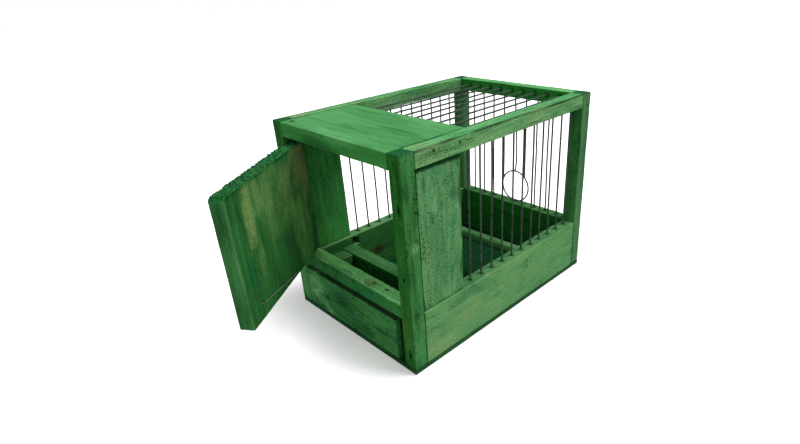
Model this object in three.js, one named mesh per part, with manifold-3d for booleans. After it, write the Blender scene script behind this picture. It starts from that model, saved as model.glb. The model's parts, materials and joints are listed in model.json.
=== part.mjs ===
// A small wooden canary cage: a frame of square posts and rails nailed up on a thin base board,
// wire grilles let into bored holes, a solid door that turns on two nails, a seed drawer under the
// doorway sill, a perch, and a wire ring in the rear grille that holds a drinking glass.
// Millimetres, +Z up. The origin is the middle of the underside. The door end faces -Y.
import * as THREE from "three";
import { mergeVertices } from "three/addons/utils/BufferGeometryUtils.js";
import Module from "manifold-3d";

const manifold = await Module();
manifold.setup();

// ---------------------------------------------------------------- driving dimensions

const CAGE = { width: 180, length: 260, height: 200 };
const STOCK = 14; // side of the square timber that the posts and top rails are cut from
const BASE_THICKNESS = 4.5;
const SKIRT_TOP = 58; // top of the deep bottom rails
const JOINT_GAP = 0.2; // between two pieces that are nailed together
const EASE = 0.7; // radius of a sanded arris

const WIRE_RADIUS = 0.9;
const WIRE_PITCH = 15.5;
const WIRE_SIDES = 12;
const WIRE_SEAT = 7.5; // how far a wire goes into the timber
const BORE_RADIUS = 1.35;
const SIDE_WIRES = 11;
const END_WIRES = 9;
const FIRST_SIDE_WIRE_Y = { right: -50.2, left: -54.4 };
// From the top face down to the middle of a roof wire, at its two ends.
const ROOF_WIRE_DROP = { board: 6, rearRail: 5.8 };

const ROOF_BOARD_DEPTH = 85;
const PANEL = { thickness: 7.7, setBack: 1.8, topGap: 1.6 };
const PANEL_REAR_EDGE_Y = { right: -65, left: -66.2 };

const SILL = { depth: 16, bottom: 53, top: 66, roundOver: 2.2 };
const LEDGE = { frontY: -82, rearY: -67, top: 49, thickness: 6 };
const BLOCK = { width: 19, top: 48, bottom: 38, roundOver: 4 };
const PARTITION_THICKNESS = 4;
const NOTCH = { frontY: -67.6, rearY: -60, bottom: 47, top: 54.6, depth: 8 };

const DRAWER = { left: -75, right: 67, bottom: 5, frontTop: 47, frontThickness: 6, rearY: -72 };
const DRAWER_BOX = { wall: 5, floor: 3, top: 36, left: -74.4, right: 66 };

const DOOR = { width: 147.2, bottom: 69, top: 182.5, thickness: 12.6, openDegrees: 54.2 };
const DOOR_CORNERS = { hingeBottom: 1, hingeTop: 1.5, freeTop: 5.5, freeBottom: 2.5 };
const DOOR_PIVOT = { x: -68, y: -121.5 };
const NAIL_PIN = { radius: 1.1, headRadius: 2.3, headThickness: 1, engagement: 11 };
const PIN_BORE_RADIUS = 1.6;
const DOOR_WIRE = { radius: 0.5, kerf: 1.9, fromEdge: 20, high: 82, reach: 88, low: 71.5 };

const PERCH = { radius: 6, y: 33, z: 48.5, skewDegrees: 2, sides: 24 };
const RING = { radius: 19, x: 2.5, clearance: 0.3, sides: 8, steps: 48 };
const BOW = { offset: 6, above: 12, endOffset: 1.6 }; // the bend low on the middle hanger
const RING_WIRES = [3, 4, 5]; // places in the rear grille, counted from 0, that end on the ring

// ---------------------------------------------------------------- derived dimensions

const OUTER_X = CAGE.width / 2;
const OUTER_Y = CAGE.length / 2;
const INNER_X = OUTER_X - STOCK;
const INNER_Y = OUTER_Y - STOCK;
const RAIL_BOTTOM = CAGE.height - STOCK;
const FRAME_BOTTOM = BASE_THICKNESS + JOINT_GAP;
const MID_RAIL_X = OUTER_X - STOCK / 2;
const MID_RAIL_Y = OUTER_Y - STOCK / 2;
const ROOF_BOARD_REAR = -OUTER_Y + ROOF_BOARD_DEPTH;
const SILL_REAR = -OUTER_Y + SILL.depth;
const REAR_WIRE_SEAT = 3.6; // the rear wires stop below the roof wires, in the same rail
const ROOF_WIRE_REAR_SEAT = 5;

// ---------------------------------------------------------------- materials

const paint = (color, roughness = 0.72, metalness = 0) =>
  new THREE.MeshStandardMaterial({ color, roughness, metalness });

const finishes = {
  lightGreen: () => paint(0x67a873),
  panelGreen: () => paint(0x5c9a66),
  deepGreen: () => paint(0x2c6e3c),
  doorGreen: () => paint(0x3a6e38),
  shadeGreen: () => paint(0x1f5a30),
  basePly: () => paint(0x1c3a28, 0.8),
  wire: () => paint(0x4a5250, 0.45, 0.8),
  nail: () => paint(0x3d4a42, 0.5, 0.7),
};

// ---------------------------------------------------------------- solids

const AXES = {
  x: new THREE.Vector3(1, 0, 0),
  y: new THREE.Vector3(0, 1, 0),
  z: new THREE.Vector3(0, 0, 1),
};
// For timber that runs along one axis: the two axes of its section and the run, in right-hand order.
const SECTION_AXES = { x: ["y", "z"], y: ["z", "x"], z: ["x", "y"] };

function toSolid(geometry) {
  const bare = geometry.clone();
  bare.deleteAttribute("normal");
  bare.deleteAttribute("uv");
  const merged = mergeVertices(bare, 1e-4);
  return new manifold.Manifold(
    new manifold.Mesh({
      numProp: 3,
      vertProperties: merged.attributes.position.array,
      triVerts: new Uint32Array(merged.index.array),
    }),
  );
}

function toGeometry(solid) {
  const { vertProperties, triVerts } = solid.getMesh();
  const geometry = new THREE.BufferGeometry();
  geometry.setAttribute("position", new THREE.BufferAttribute(vertProperties, 3));
  geometry.setIndex(new THREE.BufferAttribute(triVerts, 1));
  geometry.computeVertexNormals();
  return geometry;
}

function cut(geometry, tools) {
  return toGeometry(tools.reduce((solid, tool) => solid.subtract(toSolid(tool)), toSolid(geometry)));
}

function join(geometries) {
  const [first, ...others] = geometries.map(toSolid);
  return toGeometry(others.reduce((solid, other) => solid.add(other), first));
}

function intersection(a, b) {
  return toGeometry(toSolid(a).intersect(toSolid(b)));
}

// A rectangle with one radius for each corner, from the lower left corner counter-clockwise.
function roundedRectangle([left, right], [bottom, top], [r0, r1, r2, r3]) {
  const outline = new THREE.Shape();
  outline.moveTo(left + r0, bottom);
  outline.lineTo(right - r1, bottom);
  outline.absarc(right - r1, bottom + r1, r1, -Math.PI / 2, 0);
  outline.lineTo(right, top - r2);
  outline.absarc(right - r2, top - r2, r2, 0, Math.PI / 2);
  outline.lineTo(left + r3, top);
  outline.absarc(left + r3, top - r3, r3, Math.PI / 2, Math.PI);
  outline.lineTo(left, bottom + r0);
  outline.absarc(left + r0, bottom + r0, r0, Math.PI, Math.PI * 1.5);
  return outline;
}

// Timber that fills the given ranges and runs along one axis, with the arrises of its section eased.
function timber(ranges, run, radii = [EASE, EASE, EASE, EASE], curveSegments = 2) {
  const [u, v] = SECTION_AXES[run];
  const outline = roundedRectangle(ranges[u], ranges[v], radii);
  const [start, end] = ranges[run];
  const geometry = new THREE.ExtrudeGeometry(outline, {
    depth: end - start,
    bevelEnabled: false,
    curveSegments,
  });
  geometry.translate(0, 0, start);
  return geometry.applyMatrix4(new THREE.Matrix4().makeBasis(AXES[u], AXES[v], AXES[run]));
}

function block({ x, y, z }) {
  const size = [x, y, z].map(([low, high]) => high - low);
  const middle = [x, y, z].map(([low, high]) => (low + high) / 2);
  return new THREE.BoxGeometry(...size).translate(...middle);
}

// A round rod between two points.
function rod(start, end, radius, sides = WIRE_SIDES) {
  const run = new THREE.Vector3().subVectors(end, start);
  const geometry = new THREE.CylinderGeometry(radius, radius, run.length(), sides);
  const turn = new THREE.Quaternion().setFromUnitVectors(AXES.y, run.clone().normalize());
  const middle = new THREE.Vector3().addVectors(start, end).multiplyScalar(0.5);
  return geometry.applyQuaternion(turn).translate(...middle);
}

const point = (x, y, z) => new THREE.Vector3(x, y, z);

function uprightWire(x, y, low, high, radius = WIRE_RADIUS) {
  return rod(point(x, y, low), point(x, y, high), radius);
}

// A wire of the roof slopes up a little towards the rear.
function roofWire(x, front, rear, radius = WIRE_RADIUS) {
  const slope = (ROOF_WIRE_DROP.board - ROOF_WIRE_DROP.rearRail) / (INNER_Y - ROOF_BOARD_REAR);
  const height = (y) => CAGE.height - ROOF_WIRE_DROP.board + slope * (y - ROOF_BOARD_REAR);
  return rod(point(x, front, height(front)), point(x, rear, height(rear)), radius);
}

// ---------------------------------------------------------------- the model

const cage = new THREE.Group();

function addPiece(name, geometry, material, parent = cage) {
  const mesh = new THREE.Mesh(geometry, material);
  mesh.name = name;
  parent.add(mesh);
  return mesh;
}

const endWirePlaces = Array.from(
  { length: END_WIRES },
  (_, i) => (i - (END_WIRES - 1) / 2) * WIRE_PITCH,
);
const freeEndWirePlaces = endWirePlaces.filter((_, i) => !RING_WIRES.includes(i));

// A range on one side of the cage: the same distances from the middle, mirrored for the left side.
const onSide = (side, near, far) => (side > 0 ? [near, far] : [-far, -near]);

function addBase() {
  const corner = 2;
  addPiece(
    "base_board",
    timber(
      { x: [-OUTER_X, OUTER_X], y: [-OUTER_Y, OUTER_Y], z: [0, BASE_THICKNESS] },
      "z",
      [corner, corner, corner, corner],
    ),
    finishes.basePly(),
  );
}

function addPosts() {
  for (const [sideName, side] of [["right", 1], ["left", -1]]) {
    for (const [endName, end] of [["front", -1], ["rear", 1]]) {
      const ranges = {
        x: onSide(side, INNER_X, OUTER_X),
        y: onSide(end, INNER_Y, OUTER_Y),
        z: [FRAME_BOTTOM, CAGE.height],
      };
      addPiece(`${endName}_${sideName}_post`, timber(ranges, "z"), finishes.lightGreen());
    }
  }
}

// A side's wires go into the underside of the top rail and the top of the bottom rail.
function addSide(sideName, side) {
  const x = onSide(side, INNER_X, OUTER_X);
  const y = [-INNER_Y + JOINT_GAP, INNER_Y - JOINT_GAP];
  const wireX = side * MID_RAIL_X;
  const places = Array.from(
    { length: SIDE_WIRES },
    (_, i) => FIRST_SIDE_WIRE_Y[sideName] + i * WIRE_PITCH,
  );
  const wireLow = SKIRT_TOP - WIRE_SEAT;
  const wireHigh = RAIL_BOTTOM + WIRE_SEAT;
  const bore = (place, low, high) =>
    uprightWire(wireX, place, low - JOINT_GAP, high + JOINT_GAP, BORE_RADIUS);

  const topRail = timber({ x, y, z: [RAIL_BOTTOM, CAGE.height] }, "y");
  const lowerBores = places.map((place) => bore(place, wireLow, SKIRT_TOP + EASE));
  const bottomRail = cut(timber({ x, y, z: [FRAME_BOTTOM, SKIRT_TOP] }, "y"), [
    ...lowerBores,
    notchFor(side),
  ]);
  addPiece(`${sideName}_bottom_rail`, bottomRail, finishes.lightGreen());

  if (side > 0) {
    const upperBores = places.map((place) => bore(place, RAIL_BOTTOM - EASE, wireHigh));
    addPiece("right_top_rail", cut(topRail, upperBores), finishes.lightGreen());
    places.forEach((place, i) =>
      addPiece(
        `right_wire_${i + 1}`,
        uprightWire(wireX, place, wireLow, wireHigh),
        finishes.wire(),
      ),
    );
  } else {
    // The left side's wires are one solid with the rail that carries them.
    const wires = places.map((place) => uprightWire(wireX, place, wireLow, wireHigh));
    addPiece("left_top_rail_and_wires", join([topRail, ...wires]), finishes.lightGreen());
  }
  addPiece(
    `${sideName}_panel`,
    timber(
      {
        x: onSide(side, OUTER_X - PANEL.setBack - PANEL.thickness, OUTER_X - PANEL.setBack),
        y: [-INNER_Y + JOINT_GAP, PANEL_REAR_EDGE_Y[sideName]],
        z: [SKIRT_TOP + JOINT_GAP, RAIL_BOTTOM - PANEL.topGap],
      },
      "z",
    ),
    finishes.panelGreen(),
  );
}

// A square mortise in the inner face of a bottom rail, level with the feeder ledge and behind it.
function notchFor(side) {
  return block({
    x: onSide(side, INNER_X - JOINT_GAP, INNER_X + NOTCH.depth),
    y: [NOTCH.frontY, NOTCH.rearY],
    z: [NOTCH.bottom, NOTCH.top],
  });
}

function addRearEnd() {
  const x = [-INNER_X + JOINT_GAP, INNER_X - JOINT_GAP];
  const y = [INNER_Y, OUTER_Y];
  const wireLow = SKIRT_TOP - WIRE_SEAT;
  const wireHigh = RAIL_BOTTOM + REAR_WIRE_SEAT;
  const roofWireEnd = INNER_Y + ROOF_WIRE_REAR_SEAT;

  const lowerBores = freeEndWirePlaces.map((place) =>
    uprightWire(place, MID_RAIL_Y, wireLow - JOINT_GAP, SKIRT_TOP + EASE, BORE_RADIUS),
  );
  addPiece(
    "rear_bottom_rail",
    cut(timber({ x, y, z: [FRAME_BOTTOM, SKIRT_TOP] }, "x"), lowerBores),
    finishes.deepGreen(),
  );

  const upperBores = endWirePlaces.map((place) =>
    uprightWire(place, MID_RAIL_Y, RAIL_BOTTOM - EASE, wireHigh + JOINT_GAP, BORE_RADIUS),
  );
  const roofBores = endWirePlaces.map((place) =>
    roofWire(place, INNER_Y - EASE, roofWireEnd + JOINT_GAP, BORE_RADIUS),
  );
  addPiece(
    "rear_top_rail",
    cut(timber({ x, y, z: [RAIL_BOTTOM, CAGE.height] }, "x"), [...upperBores, ...roofBores]),
    finishes.lightGreen(),
  );

  freeEndWirePlaces.forEach((place, i) =>
    addPiece(
      `rear_wire_${i + 1}`,
      uprightWire(place, MID_RAIL_Y, wireLow, wireHigh),
      finishes.wire(),
    ),
  );
  addPiece("drinker_ring", drinkerRing(wireHigh), finishes.wire());
}

// The ring stands on the bottom rail. Two straight wires and one that bows run from it to the top rail.
function drinkerRing(wireHigh) {
  const centreZ = SKIRT_TOP + RING.clearance + RING.radius + WIRE_RADIUS;
  const ring = new THREE.TorusGeometry(RING.radius, WIRE_RADIUS, RING.sides, RING.steps);
  ring.rotateX(Math.PI / 2);
  ring.translate(RING.x, MID_RAIL_Y, centreZ);
  const heightOnRing = (x) => centreZ + Math.sqrt(RING.radius ** 2 - (x - RING.x) ** 2);
  const [left, middle, right] = RING_WIRES.map((i) => endWirePlaces[i]);
  const straight = [left, right].map((x) =>
    uprightWire(x, MID_RAIL_Y, heightOnRing(x), wireHigh),
  );
  return join([ring, ...straight, bowedWire(middle, heightOnRing(middle), wireHigh)]);
}

function bowedWire(x, low, high) {
  const path = new THREE.QuadraticBezierCurve3(
    point(x + BOW.endOffset, MID_RAIL_Y, low),
    point(x + BOW.offset, MID_RAIL_Y, low + BOW.above),
    point(x, MID_RAIL_Y, RAIL_BOTTOM),
  );
  const section = new THREE.Shape();
  section.absarc(0, 0, WIRE_RADIUS, 0, Math.PI * 2);
  const bow = new THREE.ExtrudeGeometry(section, {
    extrudePath: path,
    steps: 10,
    curveSegments: WIRE_SIDES / 2,
    bevelEnabled: false,
  });
  const seat = uprightWire(x, MID_RAIL_Y, RAIL_BOTTOM - WIRE_RADIUS, high);
  return join([bow, seat]);
}

function addRoof() {
  const wireFront = ROOF_BOARD_REAR - WIRE_SEAT;
  const wireRear = INNER_Y + ROOF_WIRE_REAR_SEAT;
  const bores = endWirePlaces.map((place) =>
    roofWire(place, wireFront - JOINT_GAP, ROOF_BOARD_REAR + EASE, BORE_RADIUS),
  );
  const pinBore = uprightWire(
    DOOR_PIVOT.x,
    DOOR_PIVOT.y,
    RAIL_BOTTOM - EASE,
    CAGE.height + EASE,
    PIN_BORE_RADIUS,
  );
  const headSeat = uprightWire(
    DOOR_PIVOT.x,
    DOOR_PIVOT.y,
    CAGE.height - NAIL_PIN.headThickness - JOINT_GAP,
    CAGE.height + EASE,
    NAIL_PIN.headRadius + 2 * JOINT_GAP,
  );
  const board = timber(
    {
      x: [-INNER_X + JOINT_GAP, INNER_X - JOINT_GAP],
      y: [-OUTER_Y, ROOF_BOARD_REAR],
      z: [RAIL_BOTTOM, CAGE.height],
    },
    "x",
  );
  addPiece("roof_board", cut(board, [...bores, pinBore, headSeat]), finishes.lightGreen());
  endWirePlaces.forEach((place, i) =>
    addPiece(`roof_wire_${i + 1}`, roofWire(place, wireFront, wireRear), finishes.wire()),
  );
}

function addSill() {
  const sill = timber(
    {
      x: [-INNER_X + JOINT_GAP, INNER_X - JOINT_GAP],
      y: [-OUTER_Y, SILL_REAR],
      z: [SILL.bottom, SILL.top],
    },
    "x",
    [EASE, EASE, EASE, SILL.roundOver],
    4,
  );
  const pinBore = uprightWire(
    DOOR_PIVOT.x,
    DOOR_PIVOT.y,
    SILL.bottom - EASE,
    SILL.top + EASE,
    PIN_BORE_RADIUS,
  );
  addPiece("sill_rail", cut(sill, [pinBore]), finishes.lightGreen());
}

// The feeding slot is the space between the sill, the ledge behind it and a block at each end.
function addFeeder() {
  const acrossInside = [-INNER_X + JOINT_GAP, INNER_X - JOINT_GAP];
  const ledgeBottom = LEDGE.top - LEDGE.thickness;
  addPiece(
    "feeder_ledge",
    timber({ x: acrossInside, y: [LEDGE.frontY, LEDGE.rearY], z: [ledgeBottom, LEDGE.top] }, "x"),
    finishes.lightGreen(),
  );
  for (const [sideName, side] of [["right", 1], ["left", -1]]) {
    const innerTop = side > 0 ? 1 : 2; // which corner of the section is the rounded one
    const radii = [EASE, EASE, EASE, EASE];
    radii[innerTop] = BLOCK.roundOver;
    addPiece(
      `feeder_block_${sideName}`,
      timber(
        {
          x: onSide(side, INNER_X - BLOCK.width, INNER_X - JOINT_GAP),
          y: [SILL_REAR + JOINT_GAP, LEDGE.frontY - JOINT_GAP],
          z: [BLOCK.bottom, BLOCK.top],
        },
        "y",
        radii,
      ),
      finishes.lightGreen(),
    );
  }
  addPiece(
    "feeder_partition",
    timber(
      {
        x: acrossInside,
        y: [LEDGE.rearY - PARTITION_THICKNESS, LEDGE.rearY],
        z: [FRAME_BOTTOM, ledgeBottom - JOINT_GAP],
      },
      "x",
    ),
    finishes.shadeGreen(),
  );
}

function addSeedDrawer() {
  const drawer = new THREE.Group();
  cage.add(drawer);
  const frontY = [-OUTER_Y, -OUTER_Y + DRAWER.frontThickness];
  const boxFront = frontY[1] + JOINT_GAP;
  const floorTop = DRAWER.bottom + DRAWER_BOX.floor;
  const wallZ = [floorTop + JOINT_GAP, DRAWER_BOX.top];
  const inside = [DRAWER_BOX.left + DRAWER_BOX.wall, DRAWER_BOX.right - DRAWER_BOX.wall];
  addPiece(
    "drawer_front",
    timber({ x: [DRAWER.left, DRAWER.right], y: frontY, z: [DRAWER.bottom, DRAWER.frontTop] }, "x"),
    finishes.deepGreen(),
    drawer,
  );
  addPiece(
    "drawer_floor",
    timber(
      {
        x: [DRAWER_BOX.left, DRAWER_BOX.right],
        y: [boxFront, DRAWER.rearY],
        z: [DRAWER.bottom, floorTop],
      },
      "x",
    ),
    finishes.shadeGreen(),
    drawer,
  );
  addPiece(
    "drawer_side_left",
    timber({ x: [DRAWER_BOX.left, inside[0]], y: [boxFront, DRAWER.rearY], z: wallZ }, "y"),
    finishes.shadeGreen(),
    drawer,
  );
  addPiece(
    "drawer_side_right",
    timber({ x: [inside[1], DRAWER_BOX.right], y: [boxFront, DRAWER.rearY], z: wallZ }, "y"),
    finishes.shadeGreen(),
    drawer,
  );
  addPiece(
    "drawer_back",
    timber(
      {
        x: [inside[0] + JOINT_GAP, inside[1] - JOINT_GAP],
        y: [DRAWER.rearY - DRAWER_BOX.wall, DRAWER.rearY],
        z: wallZ,
      },
      "x",
    ),
    finishes.shadeGreen(),
    drawer,
  );
}

// The door is drawn shut, with the axis of its nails at its own origin, and then turned open.
function addDoor() {
  const door = new THREE.Group();
  door.position.set(DOOR_PIVOT.x, DOOR_PIVOT.y, 0);
  door.rotation.z = -THREE.MathUtils.degToRad(DOOR.openDegrees);
  cage.add(door);

  const half = DOOR.thickness / 2;
  const freeEdge = DOOR.width - half;
  const face = half; // the inner face, at +Y when the door is shut
  const z = [DOOR.bottom, DOOR.top];
  const plan = timber(
    { x: [-half, freeEdge], y: [-half, half], z },
    "z",
    [half, 2 * EASE, 2 * EASE, half],
    4,
  );
  const elevation = timber(
    { x: [-half, freeEdge], y: [-half - EASE, half + EASE], z },
    "y",
    Object.values(DOOR_CORNERS),
    3,
  );
  const pinBores = [
    [DOOR.bottom - EASE, DOOR.bottom + NAIL_PIN.engagement + JOINT_GAP],
    [DOOR.top - NAIL_PIN.engagement - JOINT_GAP, DOOR.top + EASE],
  ].map(([low, high]) => uprightWire(0, 0, low, high, PIN_BORE_RADIUS));

  const wireStart = point(freeEdge - DOOR_WIRE.fromEdge, face, DOOR_WIRE.high);
  const wireEnd = point(freeEdge - DOOR_WIRE.reach, face, DOOR_WIRE.low);
  const slab = cut(intersection(plan, elevation), [...pinBores, ...doorKerf(wireStart, wireEnd)]);
  addPiece("door", slab, finishes.doorGreen(), door);
  addPiece("door_wire", doorWire(wireStart, wireEnd), finishes.wire(), door);
}

// A shallow kerf in the inner face, and a hole at its upper end for the bent end of the wire.
function doorKerf(start, end) {
  const { kerf } = DOOR_WIRE;
  const run = new THREE.Vector3().subVectors(end, start);
  const groove = new THREE.BoxGeometry(run.length() + 2 * kerf, 2 * kerf, kerf);
  groove.rotateY(Math.atan2(-run.z, run.x));
  const middle = new THREE.Vector3().addVectors(start, end).multiplyScalar(0.5);
  groove.translate(middle.x, middle.y, middle.z);
  const depth = DOOR.thickness / 2;
  const bottom = point(start.x, start.y - depth, start.z);
  const mouth = point(start.x, start.y + EASE, start.z);
  return [groove, rod(bottom, mouth, kerf)];
}

function doorWire(start, end) {
  const { radius, kerf } = DOOR_WIRE;
  const inset = kerf / 2;
  const towards = new THREE.Vector3().subVectors(end, start).normalize();
  const path = new THREE.CurvePath();
  const lie = (p) => point(p.x, p.y - inset, p.z);
  const foot = point(start.x, start.y - DOOR.thickness / 2 + 2 * radius, start.z);
  const bendIn = point(start.x, start.y - 2 * kerf, start.z);
  const bendOut = lie(start.clone().addScaledVector(towards, 2 * kerf));
  path.add(new THREE.LineCurve3(foot, bendIn));
  path.add(new THREE.QuadraticBezierCurve3(bendIn, lie(start), bendOut));
  path.add(new THREE.LineCurve3(bendOut, lie(end)));
  const section = new THREE.Shape();
  section.absarc(0, 0, radius, 0, Math.PI * 2);
  return new THREE.ExtrudeGeometry(section, {
    extrudePath: path,
    steps: 40,
    curveSegments: 3,
    bevelEnabled: false,
  });
}

// A nail turned about its own axis: shank, then head. The tip is at height 0.
function nailPin(length) {
  const { radius, headRadius, headThickness } = NAIL_PIN;
  const profile = [
    [0, 0],
    [radius, radius],
    [radius, length - headThickness],
    [headRadius, length - headThickness],
    [headRadius, length],
    [0, length],
  ].map(([r, h]) => new THREE.Vector2(r, h));
  return new THREE.LatheGeometry(profile, 12).rotateX(Math.PI / 2);
}

function addHingePins() {
  const upper = addPiece(
    "door_pin_top",
    nailPin(CAGE.height - DOOR.top + NAIL_PIN.engagement),
    finishes.nail(),
  );
  upper.position.set(DOOR_PIVOT.x, DOOR_PIVOT.y, DOOR.top - NAIL_PIN.engagement);

  const lowerLength = DOOR.bottom + NAIL_PIN.engagement - SILL.bottom + NAIL_PIN.headThickness;
  const lower = addPiece("door_pin_bottom", nailPin(lowerLength + JOINT_GAP), finishes.nail());
  lower.rotation.x = Math.PI;
  lower.position.set(DOOR_PIVOT.x, DOOR_PIVOT.y, DOOR.bottom + NAIL_PIN.engagement);
}

function addPerch() {
  const skew = THREE.MathUtils.degToRad(PERCH.skewDegrees);
  const length = 2 * (INNER_X - PERCH.radius * Math.sin(skew) - 2 * JOINT_GAP);
  const perch = addPiece(
    "perch",
    new THREE.CylinderGeometry(PERCH.radius, PERCH.radius, length, PERCH.sides),
    finishes.lightGreen(),
  );
  perch.rotation.z = skew - Math.PI / 2;
  perch.position.set(0, PERCH.y, PERCH.z);
}

addBase();
addPosts();
addSide("right", 1);
addSide("left", -1);
addRearEnd();
addRoof();
addSill();
addFeeder();
addSeedDrawer();
addDoor();
addHingePins();
addPerch();

export default cage;
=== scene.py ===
"""The looks of a small wooden canary cage: stained, hand-worn boards, wire grilles, nails and soft studio light.

Everything is in metres in the row frame: the origin is the middle of the underside, +Z is up, the door end faces -Y.
"""

import json
import math
import random

import bmesh
import bpy
from mathutils import Matrix, Vector, noise


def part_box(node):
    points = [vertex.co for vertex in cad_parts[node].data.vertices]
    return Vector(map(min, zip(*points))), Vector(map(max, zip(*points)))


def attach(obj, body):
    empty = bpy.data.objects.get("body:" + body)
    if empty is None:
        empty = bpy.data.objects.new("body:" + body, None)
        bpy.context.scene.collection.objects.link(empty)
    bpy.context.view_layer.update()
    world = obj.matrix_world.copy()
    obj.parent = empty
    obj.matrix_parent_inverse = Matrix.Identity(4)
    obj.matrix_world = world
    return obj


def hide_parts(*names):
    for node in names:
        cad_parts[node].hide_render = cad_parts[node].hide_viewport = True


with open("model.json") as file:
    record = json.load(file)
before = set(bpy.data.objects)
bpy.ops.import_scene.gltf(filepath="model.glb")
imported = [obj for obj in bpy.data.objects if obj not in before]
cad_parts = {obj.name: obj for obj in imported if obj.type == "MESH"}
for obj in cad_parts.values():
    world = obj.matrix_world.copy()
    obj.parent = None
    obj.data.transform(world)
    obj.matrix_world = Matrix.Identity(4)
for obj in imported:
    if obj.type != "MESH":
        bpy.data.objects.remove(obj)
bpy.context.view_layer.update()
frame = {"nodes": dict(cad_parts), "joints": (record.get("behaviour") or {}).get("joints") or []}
MM = 0.001

# Camera, fitted to the photograph's straight edges.

IMAGE_WIDTH = 800
FOCAL_PIXELS = 523.0
PRINCIPAL_OFFSET = (34.9, 6.4)  # pixels, right of and below the middle of the picture
CAMERA_PLACE = Vector((0.36339, -0.35846, 0.31544))
CAMERA_AZIMUTH = math.radians(46.467)
CAMERA_ELEVATION = math.radians(25.992)
CAMERA_ROLL = math.radians(-2.967)
SENSOR = 36.0

# Places and sizes on the object.

DOOR_OPEN = math.radians(54.2)
DOOR_PIVOT = Vector(next(j for j in frame["joints"] if j["name"] == "door_hinge")["pos_m"])
WIRE_RADIUS = 0.9 * MM
BORE_RADIUS = 1.35 * MM
SECTION_AXES = {"x": (1, 2), "y": (2, 0), "z": (0, 1)}
RUN_AXIS = {"x": 0, "y": 1, "z": 2}


def box(node):
    low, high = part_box(node)
    return Vector(low), Vector(high)


def middle(node):
    low, high = box(node)
    return (low + high) / 2


# Nodes.


class Shader:
    """A node tree, with one short call for each kind of node."""

    def __init__(self, owner, output="Material"):
        owner.use_nodes = True
        self.owner = owner
        self.nodes, self.links = owner.node_tree.nodes, owner.node_tree.links
        self.nodes.clear()
        self.surface = self.new("Output" + output).inputs["Surface"]

    def new(self, kind, inputs=(), **settings):
        node = self.nodes.new("ShaderNode" + kind)
        for setting, value in settings.items():
            setattr(node, setting, value)
        for key, value in dict(inputs).items():
            self.feed(node.inputs[key], value)
        return node

    def feed(self, socket, value):
        if isinstance(value, bpy.types.NodeSocket):
            self.links.new(value, socket)
        elif isinstance(value, tuple) and len(value) == 3 and socket.type == "RGBA":
            socket.default_value = (*value, 1)
        else:
            socket.default_value = value

    def coordinates(self):
        return self.new("TexCoord").outputs["Object"]

    def normal(self):
        return self.new("TexCoord").outputs["Normal"]

    def split(self, vector):
        return self.new("SeparateXYZ", {0: vector}).outputs

    def join(self, x, y, z):
        return self.new("CombineXYZ", {0: x, 1: y, 2: z}).outputs[0]

    def math(self, operation, a, b=0.0):
        return self.new("Math", {0: a, 1: b}, operation=operation).outputs[0]

    def add(self, a, b):
        return self.math("ADD", a, b)

    def subtract(self, a, b):
        return self.math("SUBTRACT", a, b)

    def multiply(self, a, b):
        return self.math("MULTIPLY", a, b)

    def swing(self, value, amount):
        """A noise value's distance from its middle, times an amount."""
        return self.multiply(self.subtract(value, 0.5), amount)

    def vector_math(self, operation, a, b=(0, 0, 0)):
        node = self.new("VectorMath", {0: a, 1: b}, operation=operation)
        return node.outputs["Value" if operation in ("LENGTH", "DOT_PRODUCT") else "Vector"]

    def noise(self, vector, scale, detail=4.0, roughness=0.55, distortion=0.0):
        shape = {"Detail": detail, "Roughness": roughness, "Distortion": distortion}
        return self.new("TexNoise", {"Vector": vector, "Scale": scale, **shape}).outputs["Fac"]

    def remap(self, value, low, high, to_low=0.0, to_high=1.0):
        """A smooth step from low to high."""
        inputs = {"Value": value, "From Min": low, "From Max": high, "To Min": to_low, "To Max": to_high}
        return self.new("MapRange", inputs, interpolation_type="SMOOTHSTEP").outputs["Result"]

    def mix(self, factor, a, b):
        return self.new("Mix", {"Factor": factor, 6: a, 7: b}, data_type="RGBA").outputs[2]

    def scaled(self, colour, factor):
        return self.new("VectorMath", {0: colour, "Scale": factor}, operation="SCALE").outputs["Vector"]

    def tinted(self, colour, tint, factor):
        """The colour where factor is 0, the colour times tint where it is 1."""
        return self.mix(factor, colour, self.vector_math("MULTIPLY", colour, tint))

    def bump(self, height, strength, distance):
        return self.new("Bump", {"Strength": strength, "Distance": distance, "Height": height}).outputs[0]

    def by_camera(self, other, seen):
        """Ends the tree in one shader for the camera's own rays and another for all other light."""
        ray = self.new("LightPath").outputs["Is Camera Ray"]
        mix = self.new("MixShader", {0: ray, 1: other.outputs[0], 2: seen.outputs[0]})
        self.feed(self.surface, mix.outputs[0])

    def principled(self, **inputs):
        """Ends the tree in a principled shader. An input's name is written with underscores."""
        named = {key.replace("_", " "): value for key, value in inputs.items()}
        self.feed(self.surface, self.new("BsdfPrincipled", named).outputs[0])
        return self.owner


def srgb(red, green, blue):
    """A colour given as it looks on a screen, 0 to 255, as linear values."""
    scaled = (red / 255, green / 255, blue / 255)
    return tuple(c / 12.92 if c <= 0.04045 else ((c + 0.055) / 1.055) ** 2.4 for c in scaled)


# Materials.

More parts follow.
